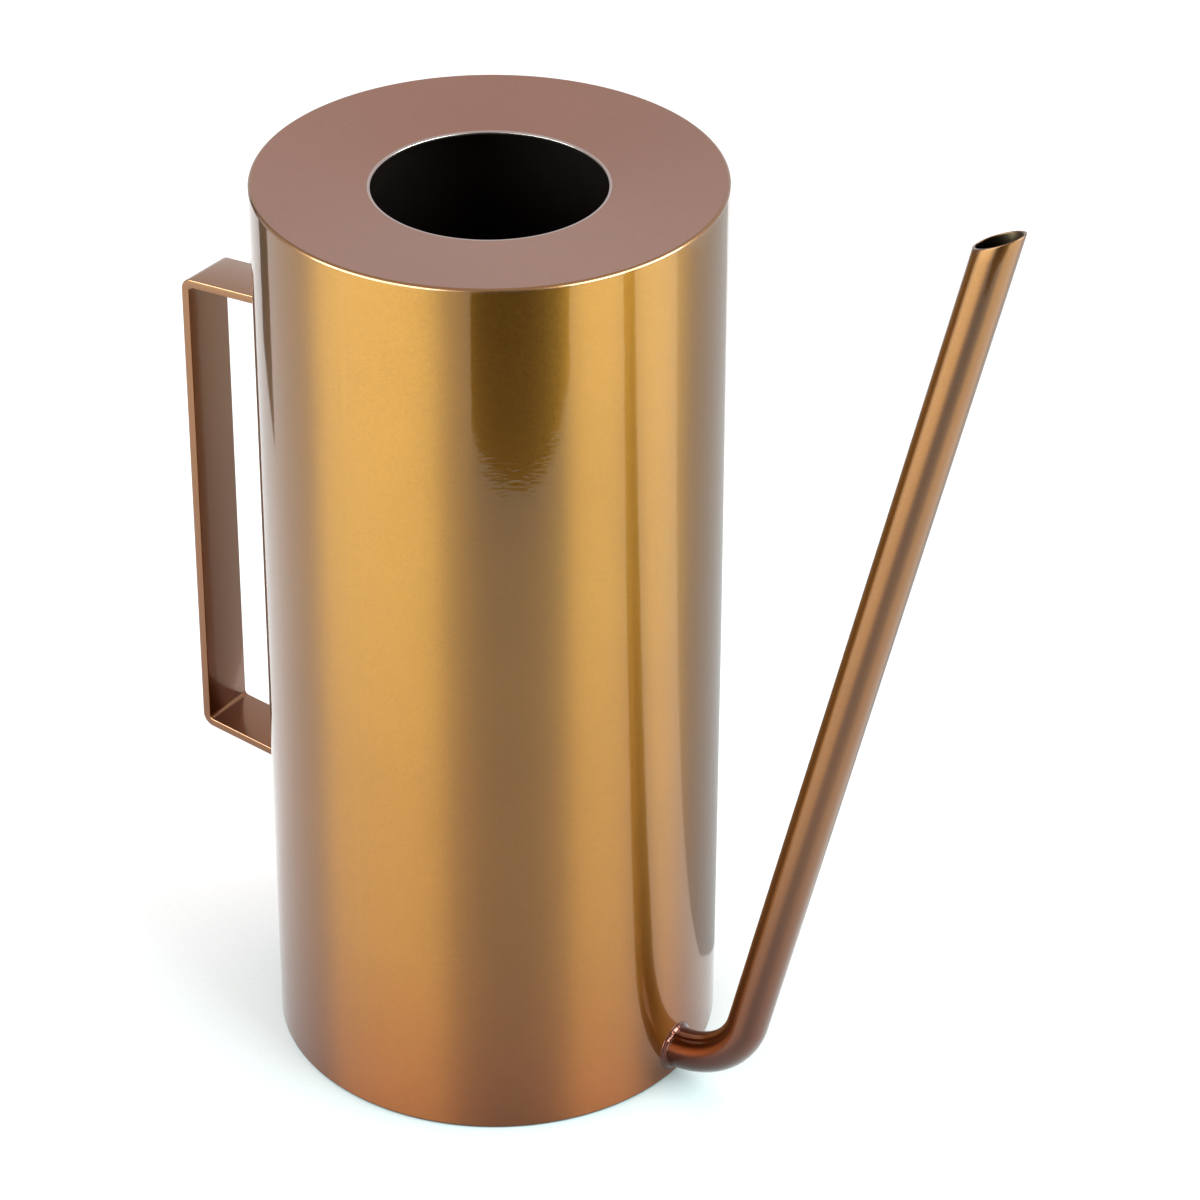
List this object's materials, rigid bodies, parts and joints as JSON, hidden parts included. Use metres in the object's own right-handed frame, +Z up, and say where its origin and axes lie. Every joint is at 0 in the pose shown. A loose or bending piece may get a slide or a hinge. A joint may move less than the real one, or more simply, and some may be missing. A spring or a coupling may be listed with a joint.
{
  "type": "watering can",
  "caption": "Slim cylindrical indoor watering can in bronze-lacquered sheet steel, with a round fill mouth, a thin rising tube spout with a slanted tip and a flat strap handle.",
  "frame": {"origin": "centre of the ring the can stands on, at table level", "axes": "+Z up along the can's body; +X towards the spout, with the handle towards -X; the XZ plane is the can's plane of symmetry"},
  "size_m": [0.2272, 0.11, 0.2581],
  "materials": {
    "lacquered_sheet": "bronze metallic lacquer over stainless sheet, glossy clear coat with slight orange peel",
    "lacquered_tube": "bronze metallic lacquer over stainless tube, glossy clear coat",
    "lacquered_strap": "bronze metallic lacquer over stainless flat strap, glossy clear coat",
    "weld_bead": "ground weld bead under the same bronze metallic lacquer"
  },
  "bodies": {
    "root": {"body_wall": "lacquered_sheet", "seam_weld": "weld_bead", "top_plate": "lacquered_sheet", "rim_weld": "weld_bead", "base_plate": "lacquered_sheet", "base_weld": "weld_bead", "spout_tube": "lacquered_tube", "spout_weld": "weld_bead", "handle_strap": "lacquered_strap", "handle_weld_upper": "weld_bead", "handle_weld_lower": "weld_bead"}
  },
  "joints": []
}
